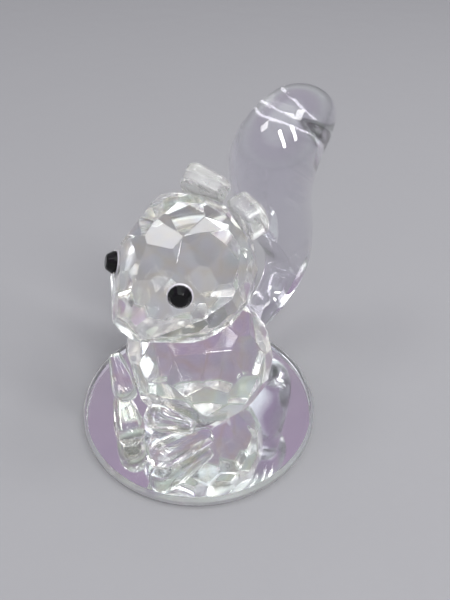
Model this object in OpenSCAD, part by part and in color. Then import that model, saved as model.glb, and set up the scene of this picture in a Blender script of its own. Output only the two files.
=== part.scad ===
// Crystal glass squirrel on a round mirror base.
// Millimetres, +Z up, the squirrel faces -Y. The origin is the middle of the base's underside.
// Each cut crystal is the space inside a set of planes, one for every facet ground on it.
// A facet is written [polar angle from the crystal's axis, turn about that axis, distance from its centre].

/* [Mirror base] */
// Diameter of the round mirror
base_d = 40; // [36:0.5:48]
// Thickness of the mirror's glass
glass_t = 1.8; // [1.5:0.1:3]
// Width of the ground bevel round both edges of the glass
base_bevel = 0.5; // [0.3:0.05:0.6]

/* [Torso] */
// Radius of the torso at its girdle
torso_r = 11.6; // [11.4:0.1:12]
// Number of facets in each belt of the torso
torso_facets = 12; // [10:2:16]

/* [Head] */
// Radius of the ball of the head
head_r = 10; // [9.7:0.1:10.4]
// Distance from the middle of the head to the flat on the nose
snout_reach = 11.8; // [11.4:0.1:12.2]
// Downward tilt of the snout, in degrees
snout_tilt = 13; // [10:1:16]
// Diameter of each black eye stone
eye_d = 3; // [2.8:0.1:3.3]

/* [Ears] */
// Length of an ear from its root to its rim
ear_l = 6.3; // [6:0.1:7]
// Width of an ear across its broad end
ear_w = 5.2; // [5:0.1:5.8]
// Thickness of an ear
ear_t = 3.1; // [2.6:0.1:3.4]
// Lean of the pair of ears towards the squirrel's left, in degrees
ear_lean = 14; // [0:1:16]

/* [Tail] */
// Width of the tail beside its depth
tail_width = 0.96; // [0.8:0.02:1.04]

/* [Arms and feet] */
// Length of an arm from paw to shoulder
arm_l = 7.75; // [7.25:0.25:8.5]
// Thickness of an arm at the paw
arm_d = 4; // [3.7:0.1:4.4]
// Length of a foot from toes to heel
foot_l = 11; // [10:0.25:11.5]
// Thickness of a foot at the toes
foot_d = 4.9; // [4.7:0.1:5.4]

/* [Adhesive] */
// Thickness of each film of clear adhesive
bond_t = 0.15; // [0.1:0.05:0.2]

/* [Hidden] */

$fn = 64;
left = 1;
right = -1;

// Heights, from the table upwards.
backing_t = 0.2;
silvering_t = 0.1;
base_top = backing_t + silvering_t + glass_t;
deck = base_top + bond_t;
torso_low = 10.7;
torso_high = 9.6;
torso_z = deck + torso_low;
head_low = 9.3;
head_y = -3.2;
head_z = torso_z + torso_high + bond_t + head_low;

// Flats ground on the torso for the tail and the arms. The arms and feet are stuck on by hand, each
// at its own place, so their values are pairs of [left, right].
tail_flat = 10.6;
arm_flat = 11.1;
arm_spread = [19, 32];
arm_polar = [100, 96];
shoulder_rise = [0, 33];

// Flats ground on the head for the eyes, the temples and the ears. Each eye is stuck on a little below
// the middle of its flat.
eye_flat = head_r - 0.9;
eye_polar = 47;
eye_turn = 54;
eye_h = 1.3;
eye_drop = 0.3;
cheek_flat = head_r + 0.1;
brow_r = head_r - 0.5;
temple_flat = head_r - 1.3;
temple_side = [0.76, -0.30, 0.58];
ear_flat = head_r - 0.2;
ear_side = [0.33, 0.66, 0.68];

// The middle of an ear, measured from the middle of the head, its turn outwards, and its tip forwards.
ear_middle = [3.55, 6.88, 8.68];
ear_turn = 20;
ear_tip = 25;

function ring(polar, count, distance, start = 0) =
    [for (i = [0:count - 1]) [polar, start + i * 360 / count, distance]];

// Half a step of a ring, which staggers it against the next one.
function half(count) = 180 / count;

// The facet that faces along v.
function facing(v, distance) = [acos(v.z / norm(v)), atan2(v.y, v.x), distance];

// A facet after its crystal has been turned about the X axis.
function tipped(facet, angle) =
    let (y = sin(facet[0]) * sin(facet[1]), z = cos(facet[0]))
    facing([sin(facet[0]) * cos(facet[1]),
            y * cos(angle) - z * sin(angle),
            y * sin(angle) + z * cos(angle)], facet[2]);

function mirrored(v) = [-v.x, v.y, v.z];

// Slope of the long facets that run from a ball of radius r to a tip of radius tip, reach away.
function cone_polar(r, reach, tip) = atan2(tip, reach) + acos(r / norm([reach, tip]));

// The solid inside every plane of the list.
module crystal(facets, size = 60) {
    intersection_for (f = facets)
        rotate([0, f[0], f[1]])
            translate([-size / 2, -size / 2, f[2] - size])
                cube(size);
}

// The value for one side out of a pair of [left, right].
function of_side(pair, side) = pair[side == right ? 1 : 0];

// Draws its children on the squirrel's left, or mirrored on its right.
module on_side(side) {
    mirror([side == right ? 1 : 0, 0, 0]) children();
}

// ---- mirror base ----

module base_disc(z, h) {
    translate([0, 0, z]) cylinder(d = base_d - 2 * base_bevel, h = h);
}

module base_backing() {
    color("dimgray") base_disc(0, backing_t);
}

module base_silvering() {
    color("silver") base_disc(backing_t, silvering_t);
}

module base_glass() {
    r = base_d / 2;
    b = base_bevel;
    color("azure", 0.5) translate([0, 0, backing_t + silvering_t])
        rotate_extrude()
            polygon([[0, 0], [r - b, 0], [r, b], [r, glass_t - b], [r - b, glass_t], [0, glass_t]]);
}

// ---- torso ----

function torso_belts() = concat(
    [[0, 0, torso_high]],
    ring(30, 8, torso_r - 1, half(8)),
    ring(54, torso_facets, torso_r - 0.6),
    ring(79, torso_facets, torso_r, half(torso_facets)),
    ring(104, torso_facets, torso_r),
    ring(129, torso_facets, torso_r - 0.5, half(torso_facets)),
    [[180, 0, torso_low]]);

// Where the tail and the two arms are stuck on.
function torso_flats() = [
    [90, 90, tail_flat],
    [arm_polar[0], -90 + arm_spread[0], arm_flat],
    [arm_polar[1], -90 - arm_spread[1], arm_flat]];

module torso() {
    color("aliceblue", 0.5) translate([0, 0, torso_z])
        crystal(concat(torso_belts(), torso_flats()));
}

// ---- head ----

// The facets about the snout, for which the axis runs out through the nose and a turn of 90 points up.
function head_belts() = concat(
    [[0, 0, snout_reach]],
    shaped(ring(eye_polar, 10, cheek_flat, 90 + half(10)), 0.5, eye_flat),
    shaped(ring(71, 13, head_r, 82), 0.3, brow_r),
    shaped(ring(91, 14, head_r, 81), 0.3, brow_r),
    ring(106, 14, head_r, 90),
    ring(130, 12, head_r, 90 + half(12)),
    ring(155, 6, head_r, 90),
    [[180, 0, head_r]]);

// A ring with its upper facets, those that rise by more than a share of the radius, set at another distance.
function shaped(facets, rise, distance) =
    [for (f = facets) [f[0], f[1], sin(f[1]) > rise ? distance : f[2]]];

// Where the neck and the ears are stuck on, and the broad flats on the temples.
function head_flats() = [
    [180, 0, head_low],
    facing(temple_side, temple_flat),
    facing(mirrored(temple_side), temple_flat),
    facing(leaning(ear_side), ear_flat),
    facing(leaning(mirrored(ear_side)), ear_flat)];

module head() {
    color("aliceblue", 0.5) translate([0, head_y, head_z])
        crystal(concat([for (f = head_belts()) tipped(f, 90 + snout_tilt)], head_flats()));
}

// ---- eyes ----

module at_eye(side) {
    on_side(side) translate([0, head_y, head_z]) rotate([90 + snout_tilt, 0, 0])
        rotate([0, eye_polar, 90 - eye_turn])
            translate([0, -eye_drop, eye_flat])
                children();
}

module eye(side) {
    r = eye_d / 2;
    color("black") at_eye(side) translate([0, 0, bond_t])
        crystal(concat(
            [[0, 0, eye_h]],
            ring(32, 8, eye_h * cos(32) + r * 0.5 * sin(32)),
            ring(58, 16, eye_h * 0.3 * cos(58) + r * sin(58), half(16)),
            ring(90, 16, r),
            [[180, 0, 0]]));
}

// ---- ears ----

// A direction after the pair of ears has been leant over.
function leaning(v) = [
    v.x * cos(ear_lean) + v.z * sin(ear_lean),
    v.y,
    v.z * cos(ear_lean) - v.x * sin(ear_lean)];

module at_ears(side) {
    translate([0, head_y, head_z]) rotate([0, ear_lean, 0]) on_side(side) children();
}

// On the flat where an ear is stuck to the head.
module at_ear_flat(side) {
    seat = facing(ear_side, ear_flat);
    at_ears(side) rotate([0, seat[0], seat[1]]) translate([0, 0, ear_flat]) children();
}

// Outline of an ear seen from its face: a fan, broad at the rim and drawn in to a narrow root.
function ear_edge(turn) =
    let (corner = ear_w * 0.28, root = ear_w * 0.25)
    max(corner + (ear_l / 2 - corner) * cos(turn) + (ear_w / 2 - corner) * abs(sin(turn)),
        root - (ear_l / 2 - root) * cos(turn));

module ear(side) {
    turns = [for (i = [0:11]) 15 + i * 30];
    bevel = 45;
    bevel_w = 0.35;
    color("aliceblue", 0.5) intersection() {
        at_ears(side) translate(ear_middle) rotate([90 + ear_tip, 0, -ear_turn])
            crystal(concat(
                [[0, 0, ear_t / 2], [180, 0, ear_t / 2]],
                [for (t = turns) [90, t, ear_edge(t)]],
                [for (t = turns, polar = [bevel, 180 - bevel])
                    [polar, t, (ear_edge(t) - bevel_w) * sin(bevel) + ear_t / 2 * cos(bevel)]]));
        at_ear_flat(side) translate([-10, -10, bond_t]) cube(20);
    }
}

// ---- arms and feet ----

// A drop: a ball about the origin drawn out along +Z to a blunt tip.
function drop(r, length, tip, count) = concat(
    [[0, 0, length - r]],
    ring(cone_polar(r, length - r, tip), count, r, half(count)),
    ring(108, count, r),
    ring(142, count / 2, r, half(count)),
    [[180, 0, r]]);

// On the flat where an arm is stuck to the torso, with +Y towards the arm's shoulder.
module at_arm(side) {
    on_side(side) translate([0, 0, torso_z]) rotate([0, 0, of_side(arm_spread, side) - 90])
        rotate([0, of_side(arm_polar, side) - 90, 0])
            translate([arm_flat, 0, 0])
                rotate([of_side(shoulder_rise, side), 0, 0])
                    children();
}

// The middle of the paw along the arm, measured from the middle of the flat.
paw_y = (arm_d - arm_l) / 2;

module arm(side) {
    r = arm_d / 2;
    back = r - 0.35;
    color("aliceblue", 0.5) at_arm(side)
        translate([bond_t + back, paw_y, 0])
            rotate([-90, 0, 0])
                crystal(concat(drop(r, arm_l, 1, 8), [[90, 180, back]]));
}

// The middle of the toes of each foot, as its distance outwards and its Y, and the turn outwards of its heel.
toe = [[3.9, -13.8], [2.9, -13.8]];
heel_turn = [20, 56];
foot_tilt = 10;
foot_sole = foot_d * 0.43;

module at_foot(side) {
    on_side(side)
        translate(concat(of_side(toe, side), [base_top]))
            rotate([0, 0, -of_side(heel_turn, side)])
                children();
}

module foot(side) {
    r = foot_d / 2;
    color("aliceblue", 0.5) at_foot(side) intersection() {
        translate([0, 0, bond_t + foot_sole])
            rotate([-90 - foot_tilt, 0, 0])
                crystal(drop(r, foot_l, 1.4, 8));
        translate([-15, -15, bond_t]) cube(30);
    }
}

// ---- tail ----

// Stations along the tail from its foot to its tip: the front edge's [y, z], the back edge's [y, z],
// all in the squirrel's plane of symmetry, and between them half the tail's width.
tail_stations = [
    [tail_flat + bond_t, 13.0, tail_flat + bond_t, 7.2, 2.9],
    [15.4, 12.6, 16.4, 7.0, 2.9],
    [19.9, 13.5, 22.4, 8.8, 3.3],
    [22.6, 16.2, 27.3, 13.2, 4.0],
    [21.7, 19.4, 29.2, 19.0, 4.8],
    [18.0, 24.4, 28.3, 27.0, 5.5],
    [13.9, 30.3, 25.6, 34.0, 6.2],
    [11.4, 36.5, 25.0, 38.6, 7.0],
    [11.7, 43.0, 26.4, 40.2, 7.1],
    [15.5, 47.6, 29.0, 40.6, 6.5],
    [21.3, 49.9, 31.2, 42.0, 5.3],
    [26.6, 49.5, 32.0, 44.5, 3.3]];
tail_tip = [30.4, 47.5, 30.4, 47.5, 0];
tail_steps = 4;
tail_sides = 32;

function spline(a, b, c, d, t) =
    (2 * b + (c - a) * t + (2 * a - 5 * b + 4 * c - d) * t * t + (3 * b - a - 3 * c + d) * t * t * t) / 2;

function along(list, i, t) = spline(
    list[max(i - 1, 0)], list[i], list[i + 1], list[min(i + 2, len(list) - 1)], t);

// The cross-section at one station, an oval whose long way is from the front edge to the back edge.
function tail_ring(s) = [for (k = [0:tail_sides - 1])
    let (a = k * 360 / tail_sides, c = (1 + cos(a)) / 2)
    [s[4] * tail_width * sin(a), s[0] * c + s[2] * (1 - c), s[1] * c + s[3] * (1 - c)]];

module tail() {
    stations = concat(tail_stations, [tail_tip]);
    rings = [for (i = [0:len(stations) - 2], j = [0:tail_steps - 1])
        tail_ring(along(stations, i, j / tail_steps))];
    n = tail_sides;
    last = len(rings) - 1;
    tip = len(rings) * n;
    points = concat([for (r = rings, p = r) p], [[0, tail_tip[0], tail_tip[1]]]);
    walls = [for (i = [0:last - 1], k = [0:n - 1])
        let (m = (k + 1) % n)
        [i * n + k, (i + 1) * n + k, (i + 1) * n + m, i * n + m]];
    end = [for (k = [0:n - 1]) [last * n + k, tip, last * n + (k + 1) % n]];
    foot = [[for (k = [0:n - 1]) k]];
    color("aliceblue", 0.5) polyhedron(points, concat(foot, walls, end));
}

// ---- films of clear adhesive ----

module film(r) {
    color("white", 0.4) cylinder(r = r, h = bond_t);
}

module bond_torso() {
    translate([0, 0, base_top]) film(4.5);
}

module bond_neck() {
    translate([0, 0, torso_z + torso_high]) film(4);
}

module bond_tail() {
    translate([0, tail_flat, 10.4]) rotate([-90, 0, 0]) film(2.2);
}

module bond_eye(side) {
    at_eye(side) film(eye_d * 0.45);
}

module bond_ear(side) {
    at_ear_flat(side) film(ear_t * 0.3);
}

module bond_arm(side) {
    at_arm(side) translate([0, paw_y + 0.5, 0]) rotate([0, 90, 0]) film(0.9);
}

module bond_foot(side) {
    at_foot(side) film(1.3);
}

base_backing();
base_silvering();
base_glass();
torso();
head();
eye(left);  // eye_left
eye(right);  // eye_right
ear(left);  // ear_left
ear(right);  // ear_right
arm(left);  // arm_left
arm(right);  // arm_right
foot(left);  // foot_left
foot(right);  // foot_right
tail();
bond_torso();
bond_neck();
bond_tail();
bond_eye(left);  // bond_eye_left
bond_eye(right);  // bond_eye_right
bond_ear(left);  // bond_ear_left
bond_ear(right);  // bond_ear_right
bond_arm(left);  // bond_arm_left
bond_arm(right);  // bond_arm_right
bond_foot(left);  // bond_foot_left
bond_foot(right);  // bond_foot_right
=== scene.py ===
"""The looks of a cut crystal squirrel on a round mirror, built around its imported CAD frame.

Every stone starts from its CAD node, so it stays where the frame has it, and gets the fine rounding that
polishing leaves on real edges. Lengths are in metres; MM turns millimetres into them.
"""

import math

import bmesh
import bpy
import numpy as np
from mathutils import Matrix, Vector, noise


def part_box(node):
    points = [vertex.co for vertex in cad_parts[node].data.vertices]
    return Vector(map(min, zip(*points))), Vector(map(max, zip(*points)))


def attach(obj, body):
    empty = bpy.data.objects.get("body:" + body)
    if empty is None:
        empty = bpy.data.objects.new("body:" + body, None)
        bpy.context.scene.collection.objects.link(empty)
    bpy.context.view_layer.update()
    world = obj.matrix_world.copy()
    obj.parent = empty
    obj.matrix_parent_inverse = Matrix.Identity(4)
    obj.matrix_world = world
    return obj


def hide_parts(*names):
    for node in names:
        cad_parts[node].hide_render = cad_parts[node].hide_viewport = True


MM = 0.001

# A point inside the figurine, which the lights face, and how far from it they stand.
HEART = Vector((0, 0, 20 * MM))
LIGHTS_AWAY = 700 * MM

# How much of the tail's tip is torn glass, its white also a painted highlight.
TORN_AND_HIGHLIGHT_REACH = 2.6 * MM

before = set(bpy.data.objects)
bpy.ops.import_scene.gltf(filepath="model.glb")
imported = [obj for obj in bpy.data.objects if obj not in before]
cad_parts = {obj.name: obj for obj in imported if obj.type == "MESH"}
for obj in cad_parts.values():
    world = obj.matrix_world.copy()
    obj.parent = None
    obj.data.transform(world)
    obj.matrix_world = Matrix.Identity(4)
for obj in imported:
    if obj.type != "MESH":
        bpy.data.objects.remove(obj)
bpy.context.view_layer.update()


# ---- materials ----


def colour_ramp(tree, value, stops):
    """Colours along a value in a node tree, each stop as (position, colour)."""
    ramp = tree.nodes.new("ShaderNodeValToRGB")
    band = ramp.color_ramp
    while len(band.elements) < len(stops):
        band.elements.new(0.5)
    for element, (position, colour) in zip(band.elements, stops):
        element.position = position
        element.color = (*colour, 1)
    tree.links.new(value, ramp.inputs["Fac"])
    return ramp.outputs["Color"]


class Material:
    """A node-based material with short calls for the nodes that it is made of."""

    def __init__(self, name, **values):
        self.data = bpy.data.materials.new(name)
        self.data.use_nodes = True
        self.nodes = self.data.node_tree.nodes
        self.links = self.data.node_tree.links
        self.shader = self.nodes["Principled BSDF"]
        for socket, value in values.items():
            self.shader.inputs[socket.replace("_", " ")].default_value = value
        self.place = self.nodes.new("ShaderNodeTexCoord").outputs["Object"]

    def noise(self, size, detail=3.0, stretch=(1, 1, 1)):
        """Cloudy noise whose patches are about this size."""
        mapping = self.nodes.new("ShaderNodeMapping")
        mapping.inputs["Scale"].default_value = stretch
        self.links.new(self.place, mapping.inputs["Vector"])
        cloud = self.nodes.new("ShaderNodeTexNoise")
        cloud.inputs["Scale"].default_value = 1 / size
        cloud.inputs["Detail"].default_value = detail
        self.links.new(mapping.outputs["Vector"], cloud.inputs["Vector"])
        return cloud.outputs["Fac"]

    def specks(self, size, share):
        """Small round specks on a share of the surface, 1 on a speck and 0 beside it."""
        cells = self.nodes.new("ShaderNodeTexVoronoi")
        cells.inputs["Scale"].default_value = 1 / size
        self.links.new(self.place, cells.inputs["Vector"])
        return self.between(cells.outputs["Distance"], share, share * 0.6)

    def from_axis(self):
        """How far a point is from the Z axis."""
        flat = self.nodes.new("ShaderNodeVectorMath")
        flat.operation = "MULTIPLY"
        flat.inputs[1].default_value = (1, 1, 0)
        self.links.new(self.place, flat.inputs[0])
        reach = self.nodes.new("ShaderNodeVectorMath")
        reach.operation = "LENGTH"
        self.links.new(flat.outputs["Vector"], reach.inputs[0])
        return reach.outputs["Value"]

    def edge_on(self, cloud, share):
        """0 where the surface faces the eye and 1 where it turns edge-on, plus a share of some cloudiness."""
        weight = self.nodes.new("ShaderNodeLayerWeight")
        weight.inputs["Blend"].default_value = 0.5
        total = self.nodes.new("ShaderNodeMath")
        total.operation = "MULTIPLY_ADD"
        total.inputs[1].default_value = share
        self.links.new(cloud, total.inputs[0])
        self.links.new(weight.outputs["Facing"], total.inputs[2])
        return total.outputs["Value"]

    def between(self, value, low, high, low_to=0.0, high_to=1.0):
        """The value taken from one range to another, and held at its ends."""
        ramp = self.nodes.new("ShaderNodeMapRange")
        for socket, number in zip(("From Min", "From Max", "To Min", "To Max"), (low, high, low_to, high_to)):
            ramp.inputs[socket].default_value = number
        self.links.new(value, ramp.inputs["Value"])
        return ramp.outputs["Result"]

    def colours(self, value, *stops):
        """Colours along a value, each stop as (position, colour)."""
        return colour_ramp(self.data.node_tree, value, stops)

    def feed(self, socket, value):
        self.links.new(value, self.shader.inputs[socket])

    def relief(self, value, depth):
        """Bumps of this depth, in metres."""
        bump = self.nodes.new("ShaderNodeBump")
        bump.inputs["Strength"].default_value = 1
        bump.inputs["Distance"].default_value = depth
        self.links.new(value, bump.inputs["Height"])
        self.feed("Normal", bump.outputs["Normal"])


def crystal(name):
    """Clear lead crystal: warm, green and violet tints painted into its colour in random patches, as painted
    fire for the coloured flashes of dispersed light, and the soft waves of hand polishing.
    """
    m = Material(name, IOR=1.56, Transmission_Weight=1.0)
    clear = Vector((0.985, 0.99, 0.995))
    warm, green, violet = (Vector(c) for c in ((1, 0.95, 0.84), (0.88, 0.98, 0.94), (0.94, 0.92, 1)))
    tones = (green, clear, warm, clear, violet)
    # Painted fire: random warm, green and violet tints that stand in for light split into colours.
    m.feed("Base Color", m.colours(m.noise(5 * MM, 1), *zip((0.3, 0.42, 0.5, 0.58, 0.7), tones)))
    m.feed("Roughness", m.between(m.noise(2.5 * MM, 4), 0.35, 0.75, 0.04, 0.09))
    m.relief(m.noise(3 * MM, 1), 0.002 * MM)
    return m.data


def drawn_crystal(name):
    """Crystal drawn hot from a rod, with the shallow ridges of the drawing; its colour is painted whiter
    where the surface turns edge-on, as a painted edge highlight, and smokier where it faces the eye, as
    painted shade that also stands in for the longer path through thick glass.
    """
    m = Material(name, IOR=1.56, Transmission_Weight=1.0, Coat_Weight=0.6, Coat_Roughness=0.02)
    # Painted light: white where the surface turns edge-on (painted edge highlight), smoky where it faces the
    # eye (painted shade for thick glass).
    depth = m.edge_on(m.noise(5 * MM, 1), 0.2)
    smoky_painted_shade, pale, clear = (0.76, 0.74, 0.82), (0.86, 0.85, 0.9), (1, 1, 1)
    m.feed("Base Color", m.colours(depth, (0.1, smoky_painted_shade), (0.5, pale), (0.9, clear)))
    m.feed("Roughness", m.between(m.noise(2.5 * MM, 4), 0.35, 0.75, 0.04, 0.08))
    m.relief(m.noise(3 * MM, 1, stretch=(1, 1, 0.3)), 0.03 * MM)
    return m.data


def torn_tip_and_painted_highlight(name):
    """The end of the drawn glass, torn off while it was soft and rippled, and painted white as a highlight on
    the tip.
    """
    m = Material(name, IOR=1.56, Transmission_Weight=0.5)
    m.feed("Base Color", m.colours(m.noise(0.8 * MM, 3), (0.35, (0.7, 0.73, 0.72)), (0.6, (1, 1, 1))))
    m.feed("Roughness", m.between(m.noise(0.6 * MM, 4), 0.3, 0.7, 0.1, 0.5))
    m.relief(m.noise(0.7 * MM, 3), 0.3 * MM)
    return m.data


def moulded_crystal(name):
    """Pressed glass that was never polished: clear, but misty on its surface."""
    m = Material(name, IOR=1.54, Transmission_Weight=0.88)
    m.feed("Base Color", m.colours(m.noise(2 * MM, 3), (0.3, (0.93, 0.95, 0.93)), (0.7, (0.99, 0.98, 0.95))))
    m.feed("Roughness", m.between(m.noise(1.2 * MM, 5), 0.3, 0.7, 0.08, 0.3))
    m.relief(m.noise(0.9 * MM, 3), 0.02 * MM)
    return m.data


def jet(name):
    """Opaque black crystal."""
    m = Material(name, IOR=1.5, Specular_IOR_Level=0.3)
    deep, faint = (0.001, 0.001, 0.001), (0.003, 0.003, 0.004)
    m.feed("Base Color", m.colours(m.noise(1 * MM), (0.3, deep), (0.7, faint)))
    m.feed("Roughness", m.between(m.noise(0.6 * MM, 4), 0.4, 0.7, 0.03, 0.12))
    return m.data


def mirror_glass(name, ground_radius):
    """Float glass, a little green, with a ground edge that is duller than its faces."""
    m = Material(name, IOR=1.52, Transmission_Weight=1.0)
    greenish, clear = (0.97, 0.985, 0.98), (0.99, 0.995, 0.992)
    m.feed("Base Color", m.colours(m.noise(9 * MM, 2), (0.3, greenish), (0.7, clear)))
    m.feed("Roughness", m.between(m.from_axis(), ground_radius - 0.05 * MM, ground_radius, 0.02, 0.35))
    m.relief(m.noise(0.3 * MM, 4), 0.002 * MM)
    return m.data


def silvering(name):
    """Mirror silvering with a faint cloudiness."""
    m = Material(name, Metallic=1.0)
    m.feed("Base Color", m.colours(m.noise(6 * MM, 4), (0.3, (0.86, 0.87, 0.88)), (0.7, (0.92, 0.93, 0.93))))
    m.feed("Roughness", m.between(m.noise(4 * MM, 5), 0.45, 0.8, 0.01, 0.05))
    return m.data


def backing_paint(name):
    """Grey protective paint, lightly orange-peeled."""
    m = Material(name)
    m.feed("Base Color", m.colours(m.noise(1.5 * MM, 5), (0.3, (0.1, 0.1, 0.11)), (0.7, (0.17, 0.17, 0.18))))
    m.feed("Roughness", m.between(m.noise(0.8 * MM), 0.3, 0.7, 0.55, 0.75))
    m.relief(m.noise(0.5 * MM), 0.02 * MM)
    return m.data


def adhesive(name):
    """Clear cured adhesive, a little milky, with pin-head bubbles."""
    m = Material(name, IOR=1.47, Transmission_Weight=0.75)
    m.feed("Base Color", m.colours(m.noise(0.8 * MM, 3), (0.3, (0.9, 0.91, 0.9)), (0.7, (1, 1, 0.99))))
    m.feed("Roughness", m.between(m.noise(0.4 * MM, 4), 0.3, 0.7, 0.08, 0.4))
    m.relief(m.specks(0.35 * MM, 0.3), 0.02 * MM)
    return m.data


def squeezed_adhesive(name):
    """Adhesive that has cured to a smooth pale bead where it was squeezed out round an eye."""
    m = Material(name, IOR=1.47, Transmission_Weight=0.3)
    mauve, white = (0.78, 0.74, 0.82), (0.95, 0.93, 0.97)
    m.feed("Base Color", m.colours(m.noise(1.5 * MM, 2), (0.3, mauve), (0.7, white)))
    m.feed("Roughness", m.between(m.noise(0.8 * MM, 3), 0.3, 0.7, 0.12, 0.3))
    return m.data


def floor_finish(name):
    """Pale matt paper, painted darker further from the middle as painted shade where the light falls off far
    away.
    """
    m = Material(name)
    # Painted shade: the paper's colour darkens from 400 mm to 1100 mm out, for light falling off with
    # distance.
    painted_falloff = m.between(m.from_axis(), 400 * MM, 1100 * MM)
    m.feed("Base Color", m.colours(painted_falloff, (0, (0.3, 0.3, 0.31)), (1, (0.17, 0.17, 0.175))))
    m.feed("Roughness", m.between(m.noise(20 * MM), 0.3, 0.7, 0.7, 0.85))
    m.relief(m.noise(1.5 * MM, 4), 0.02 * MM)
    return m.data


# ---- pieces ----


def piece(name, mesh, material, slot, *nodes):
    """Adds a mesh as a piece that stands for these CAD nodes."""
    thing = bpy.data.objects.new(name, mesh)
    bpy.context.scene.collection.objects.link(thing)
    mesh.materials.clear()
    mesh.materials.append(material)
    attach(thing, "root")
    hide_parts(*nodes)
    return thing


def cad_shape(node):
    """The CAD node's shape as a bmesh, with its triangles joined into whole facets."""
    shape = bmesh.new()
    shape.from_mesh(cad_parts[node].data)
    bmesh.ops.remove_doubles(shape, verts=shape.verts, dist=0.002 * MM)
    bmesh.ops.dissolve_limit(shape, angle_limit=math.radians(0.5), verts=shape.verts, edges=shape.edges)
    return shape


def as_mesh(shape, name, smooth=False):
    for face in shape.faces:
        face.smooth = smooth
    bmesh.ops.recalc_face_normals(shape, faces=shape.faces)
    mesh = bpy.data.meshes.new(name)
    shape.to_mesh(mesh)
    shape.free()
    return mesh


def cut_stone(node, name, material, slot="crystal", rounding=0.06 * MM, steps=2):
    """A faceted stone, its edges rounded over by polishing."""
    shape = cad_shape(node)
    bmesh.ops.dissolve_degenerate(shape, edges=shape.edges, dist=2 * rounding)
    edges = [e for e in shape.edges if e.is_manifold and e.calc_face_angle() > math.radians(3)]
    bmesh.ops.bevel(
        shape, geom=edges, offset=rounding, offset_type="OFFSET", segments=steps, profile=0.5,
        affect="EDGES", clamp_overlap=True)
    return piece(name, as_mesh(shape, name), material, slot, node)


def soft_stone(node, name, material, softness, detail, seat=None):
    """A stone as full as the cut one, its facets run together by fire polishing but for the ground seat."""
    shape = cad_shape(node)
    middle = sum((v.co for v in shape.verts), Vector()) / len(shape.verts)
    normals = np.array([f.normal for f in shape.faces])
    offsets = np.array([(f.verts[0].co - middle).dot(f.normal) for f in shape.faces])
    shape.free()
    ball = bmesh.new()
    bmesh.ops.create_icosphere(ball, subdivisions=detail, radius=1)
    ways = np.array([v.co.normalized() for v in ball.verts])
    reach = offsets / np.maximum(ways @ normals.T, 1e-3)
    nearest = reach.min(axis=1, keepdims=True)
    worn_off = softness * np.log(np.exp((nearest - reach) / softness).sum(axis=1))
    round_reach = nearest[:, 0] - worn_off + worn_off.mean()
    if seat:
        to_seat = sum(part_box(seat), Vector()) / 2 - middle
        ground = np.argmax(normals @ np.array(to_seat))
        round_reach = np.minimum(round_reach, reach[:, ground])
    for vert, way, r in zip(ball.verts, ways, round_reach):
        vert.co = middle + Vector(way) * r
    return piece(name, as_mesh(ball, name, smooth=True), material, "crystal", node)


def drawn_tail():
    """The tail: one smooth piece of drawn glass, sawn flat at its foot and torn off at its tip, where the
    torn glass is also painted white as a highlight.
    """
    shape = cad_shape("tail")
    tip = max(shape.verts, key=lambda v: v.co.y + v.co.z).co.copy()
    bmesh.ops.join_triangles(
        shape, faces=[f for f in shape.faces if len(f.verts) == 3],
        angle_face_threshold=math.radians(60), angle_shape_threshold=math.radians(60))
    mesh = as_mesh(shape, "tail_glass", smooth=True)
    tail = piece("tail_glass", mesh, drawn_crystal("drawn crystal"), "crystal", "tail")
    mesh.materials.append(torn_tip_and_painted_highlight("torn tip and painted highlight"))
    # The tip gets the white torn glass: a torn end, and a painted highlight.
    for face in mesh.polygons:
        if (face.center - tip).length < TORN_AND_HIGHLIGHT_REACH:
            face.material_index = 1
    crease = mesh.attributes.new("crease_edge", "FLOAT", "EDGE")
    sawn_end = min(v.co.y for v in mesh.vertices) + 0.02 * MM
    for edge in mesh.edges:
        if all(mesh.vertices[i].co.y < sawn_end for i in edge.vertices):
            crease.data[edge.index].value = 1.0
    rounder = tail.modifiers.new("round", "SUBSURF")
    rounder.levels = rounder.render_levels = 2


def loft(shape, rings):
    """Walls between each ring of vertices and the next, and caps on the first and the last."""
    for below, above in zip(rings, rings[1:]):
        for i in range(len(below)):
            j = (i + 1) % len(below)
            shape.faces.new((below[i], below[j], above[j], above[i]))
    shape.faces.new(list(reversed(rings[0])))
    shape.faces.new(rings[-1])


def turned(name, outline, material, slot, *nodes, turns=192):
    """A piece turned about the Z axis from its outline of (radius, height), the middle left out."""
    shape = bmesh.new()
    rings = []
    for radius, height in outline:
        rings.append([
            shape.verts.new((radius * math.cos(a), radius * math.sin(a), height))
            for a in (2 * math.pi * i / turns for i in range(turns))])
    loft(shape, rings)
    return piece(name, as_mesh(shape, name), material, slot, *nodes)


def mirror_base():
    """The round mirror: ground glass on silvering on paint."""
    low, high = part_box("base_glass")
    back_low, back_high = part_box("base_backing")
    silver_low, silver_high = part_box("base_silvering")
    radius = high.x
    bevel = radius - back_high.x
    gap = 0.01 * MM
    soft = 0.06 * MM
    turned("base_glass_disc", [
        (radius - bevel - soft, low.z), (radius - bevel, low.z + soft),
        (radius - soft, low.z + bevel - soft), (radius, low.z + bevel),
        (radius, high.z - bevel), (radius - soft, high.z - bevel + soft),
        (radius - bevel, high.z - soft), (radius - bevel - soft, high.z)],
        mirror_glass("mirror glass", radius - bevel), "mirror_glass", "base_glass")
    turned("base_silver_coat", [
        (silver_high.x - gap, silver_low.z + gap), (silver_high.x, silver_low.z + 3 * gap),
        (silver_high.x, silver_high.z - 3 * gap), (silver_high.x - gap, silver_high.z - gap)],
        silvering("silvering"), "silvering", "base_silvering")
    turned("base_back_paint", [
        (back_high.x - soft, back_low.z), (back_high.x, back_low.z + soft),
        (back_high.x, back_high.z - soft), (back_high.x - soft, back_high.z)],
        backing_paint("backing paint"), "backing_paint", "base_backing")


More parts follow.
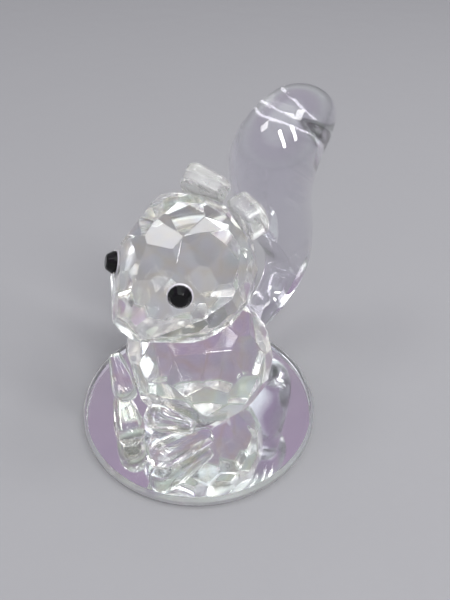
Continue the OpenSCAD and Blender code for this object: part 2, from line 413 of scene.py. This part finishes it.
def glue_spot(node, material, spread=1.06, flare=0.0, wobble=0.05):
    """A film of adhesive that has squeezed out unevenly round the CAD film, and flares out at its foot."""
    shape = cad_shape(node)
    cap = max(shape.faces, key=lambda f: f.calc_area())
    normal = cap.normal.copy()
    if normal.dot(cap.calc_center_median() - HEART) < 0:
        normal.negate()
    middle = sum((v.co for v in shape.verts), Vector()) / len(shape.verts)
    reach = max(abs((v.co - middle).dot(normal)) for v in shape.verts)
    radius = max((v.co - middle - normal * (v.co - middle).dot(normal)).length for v in shape.verts)
    shape.free()
    place = Matrix.Translation(middle) @ normal.to_track_quat("Z", "Y").to_matrix().to_4x4()
    half = reach - 0.005 * MM
    profile = [(0.97, -1.0), (1.0, -0.55), (1.01, 0.0), (1.0, 0.55), (0.97, 1.0)]
    sides = 64
    film = bmesh.new()
    rings = []
    for out, up in profile:
        ring = []
        for i in range(sides):
            a = 2 * math.pi * i / sides
            swell = noise.noise(Vector((math.cos(a) * 1.7, math.sin(a) * 1.7, len(node)))) * wobble
            r = radius * spread * (out + swell) * (1 + flare * (1 - up) / 2)
            ring.append(film.verts.new(place @ Vector((r * math.cos(a), r * math.sin(a), half * up))))
        rings.append(ring)
    loft(film, rings)
    return piece(node.replace("bond", "glue"), as_mesh(film, node), material, "adhesive", node)


def squirrel():
    clear = crystal("clear crystal")
    misty = moulded_crystal("moulded crystal")
    black = jet("jet crystal")
    glue = adhesive("clear adhesive")
    bead = squeezed_adhesive("squeezed adhesive")
    soft_stone("torso", "torso_stone", clear, softness=0.03 * MM, detail=7)
    cut_stone("head", "head_stone", clear)
    drawn_tail()
    for side in ("left", "right"):
        soft_stone(f"ear_{side}", f"ear_{side}_stone", misty, softness=0.05 * MM, detail=5)
        for limb, softness in (("arm", 0.3 * MM), ("foot", 0.5 * MM)):
            soft_stone(
                f"{limb}_{side}", f"{limb}_{side}_stone", clear, softness, detail=6,
                seat=f"bond_{limb}_{side}")
        cut_stone(f"eye_{side}", f"eye_{side}_stone", black, slot="jet_crystal", rounding=0.02 * MM)
        glue_spot(f"bond_eye_{side}", bead, spread=1.13, flare=0.14, wobble=0.015)
        for joint in ("ear", "arm", "foot"):
            glue_spot(f"bond_{joint}_{side}", glue)
    for joint in ("torso", "neck", "tail"):
        glue_spot(f"bond_{joint}", glue)


# ---- studio ----


def ground():
    """A plain pale floor."""
    half_width = 3
    shape = bmesh.new()
    bmesh.ops.create_grid(shape, x_segments=8, y_segments=8, size=half_width)
    mesh = as_mesh(shape, "floor")
    mesh.materials.append(floor_finish("floor"))
    floor = bpy.data.objects.new("floor", mesh)
    bpy.context.scene.collection.objects.link(floor)


def softbox(name, azimuth, elevation, width, height, power, lean=0):
    """A soft rectangular light. Azimuth 0 is in front of the squirrel and 90 on its left."""
    light = bpy.data.lights.new(name, "AREA")
    light.shape = "RECTANGLE"
    light.size, light.size_y = width, height
    light.energy = power
    a, e = math.radians(azimuth), math.radians(elevation)
    way = Vector((math.sin(a) * math.cos(e), -math.cos(a) * math.cos(e), math.sin(e)))
    place = Matrix.Translation(HEART + way * LIGHTS_AWAY)
    lamp = bpy.data.objects.new(name, light)
    facing = way.to_track_quat("Z", "Y").to_matrix().to_4x4()
    lamp.matrix_world = place @ facing @ Matrix.Rotation(math.radians(lean), 4, "Z")
    bpy.context.scene.collection.objects.link(lamp)


def surroundings():
    """A plain room: white overhead, lavender walls, pale green low down and dim below."""
    world = bpy.data.worlds.new("room")
    bpy.context.scene.world = world
    world.use_nodes = True
    tree = world.node_tree
    nodes, links = tree.nodes, tree.links
    toward = nodes.new("ShaderNodeVectorMath")
    toward.operation = "DOT_PRODUCT"
    toward.inputs[1].default_value = Vector((0.15, -0.1, 0.98)).normalized()
    links.new(nodes.new("ShaderNodeTexCoord").outputs["Generated"], toward.inputs[0])
    tones = (
        (0.0, (0.2, 0.21, 0.205)), (0.25, (0.52, 0.58, 0.54)), (0.5, (0.38, 0.33, 0.4)),
        (0.74, (0.4, 0.31, 0.44)), (0.9, (1.35, 1.42, 1.42)))
    links.new(colour_ramp(tree, toward.outputs["Value"], tones), nodes["Background"].inputs["Color"])


def camera():
    """The photograph's viewpoint: close, from the front left and above."""
    eye = bpy.data.cameras.new("camera")
    eye.sensor_width = 36
    eye.lens = 33.6
    eye.clip_start = 0.005
    stand = bpy.data.objects.new("camera", eye)
    heading, pitch, roll = (math.radians(x) for x in (36.435, 39.51, 1.507))
    turn = (Matrix.Rotation(heading, 4, "Z") @ Matrix.Rotation(math.pi / 2 - pitch, 4, "X")
            @ Matrix.Rotation(roll, 4, "Z"))
    stand.matrix_world = Matrix.Translation(Vector((41.825, -49.845, 77.848)) * MM) @ turn
    bpy.context.scene.collection.objects.link(stand)
    bpy.context.scene.camera = stand


def studio():
    ground()
    surroundings()
    softbox("window", azimuth=62, elevation=53, width=0.07, height=0.4, power=2.2, lean=20)
    softbox("window_pane", azimuth=98, elevation=47, width=0.06, height=0.28, power=1.2)
    softbox("door", azimuth=-51, elevation=62, width=0.17, height=0.17, power=0.6)
    softbox("skylight", azimuth=132, elevation=55, width=0.17, height=0.17, power=0.6)
    camera()
    bpy.context.scene.view_settings.view_transform = "Standard"
    paths = bpy.context.scene.cycles
    paths.max_bounces = 32
    paths.transmission_bounces = 32
    paths.glossy_bounces = 32
    paths.sample_clamp_indirect = 8


mirror_base()
squirrel()
studio()
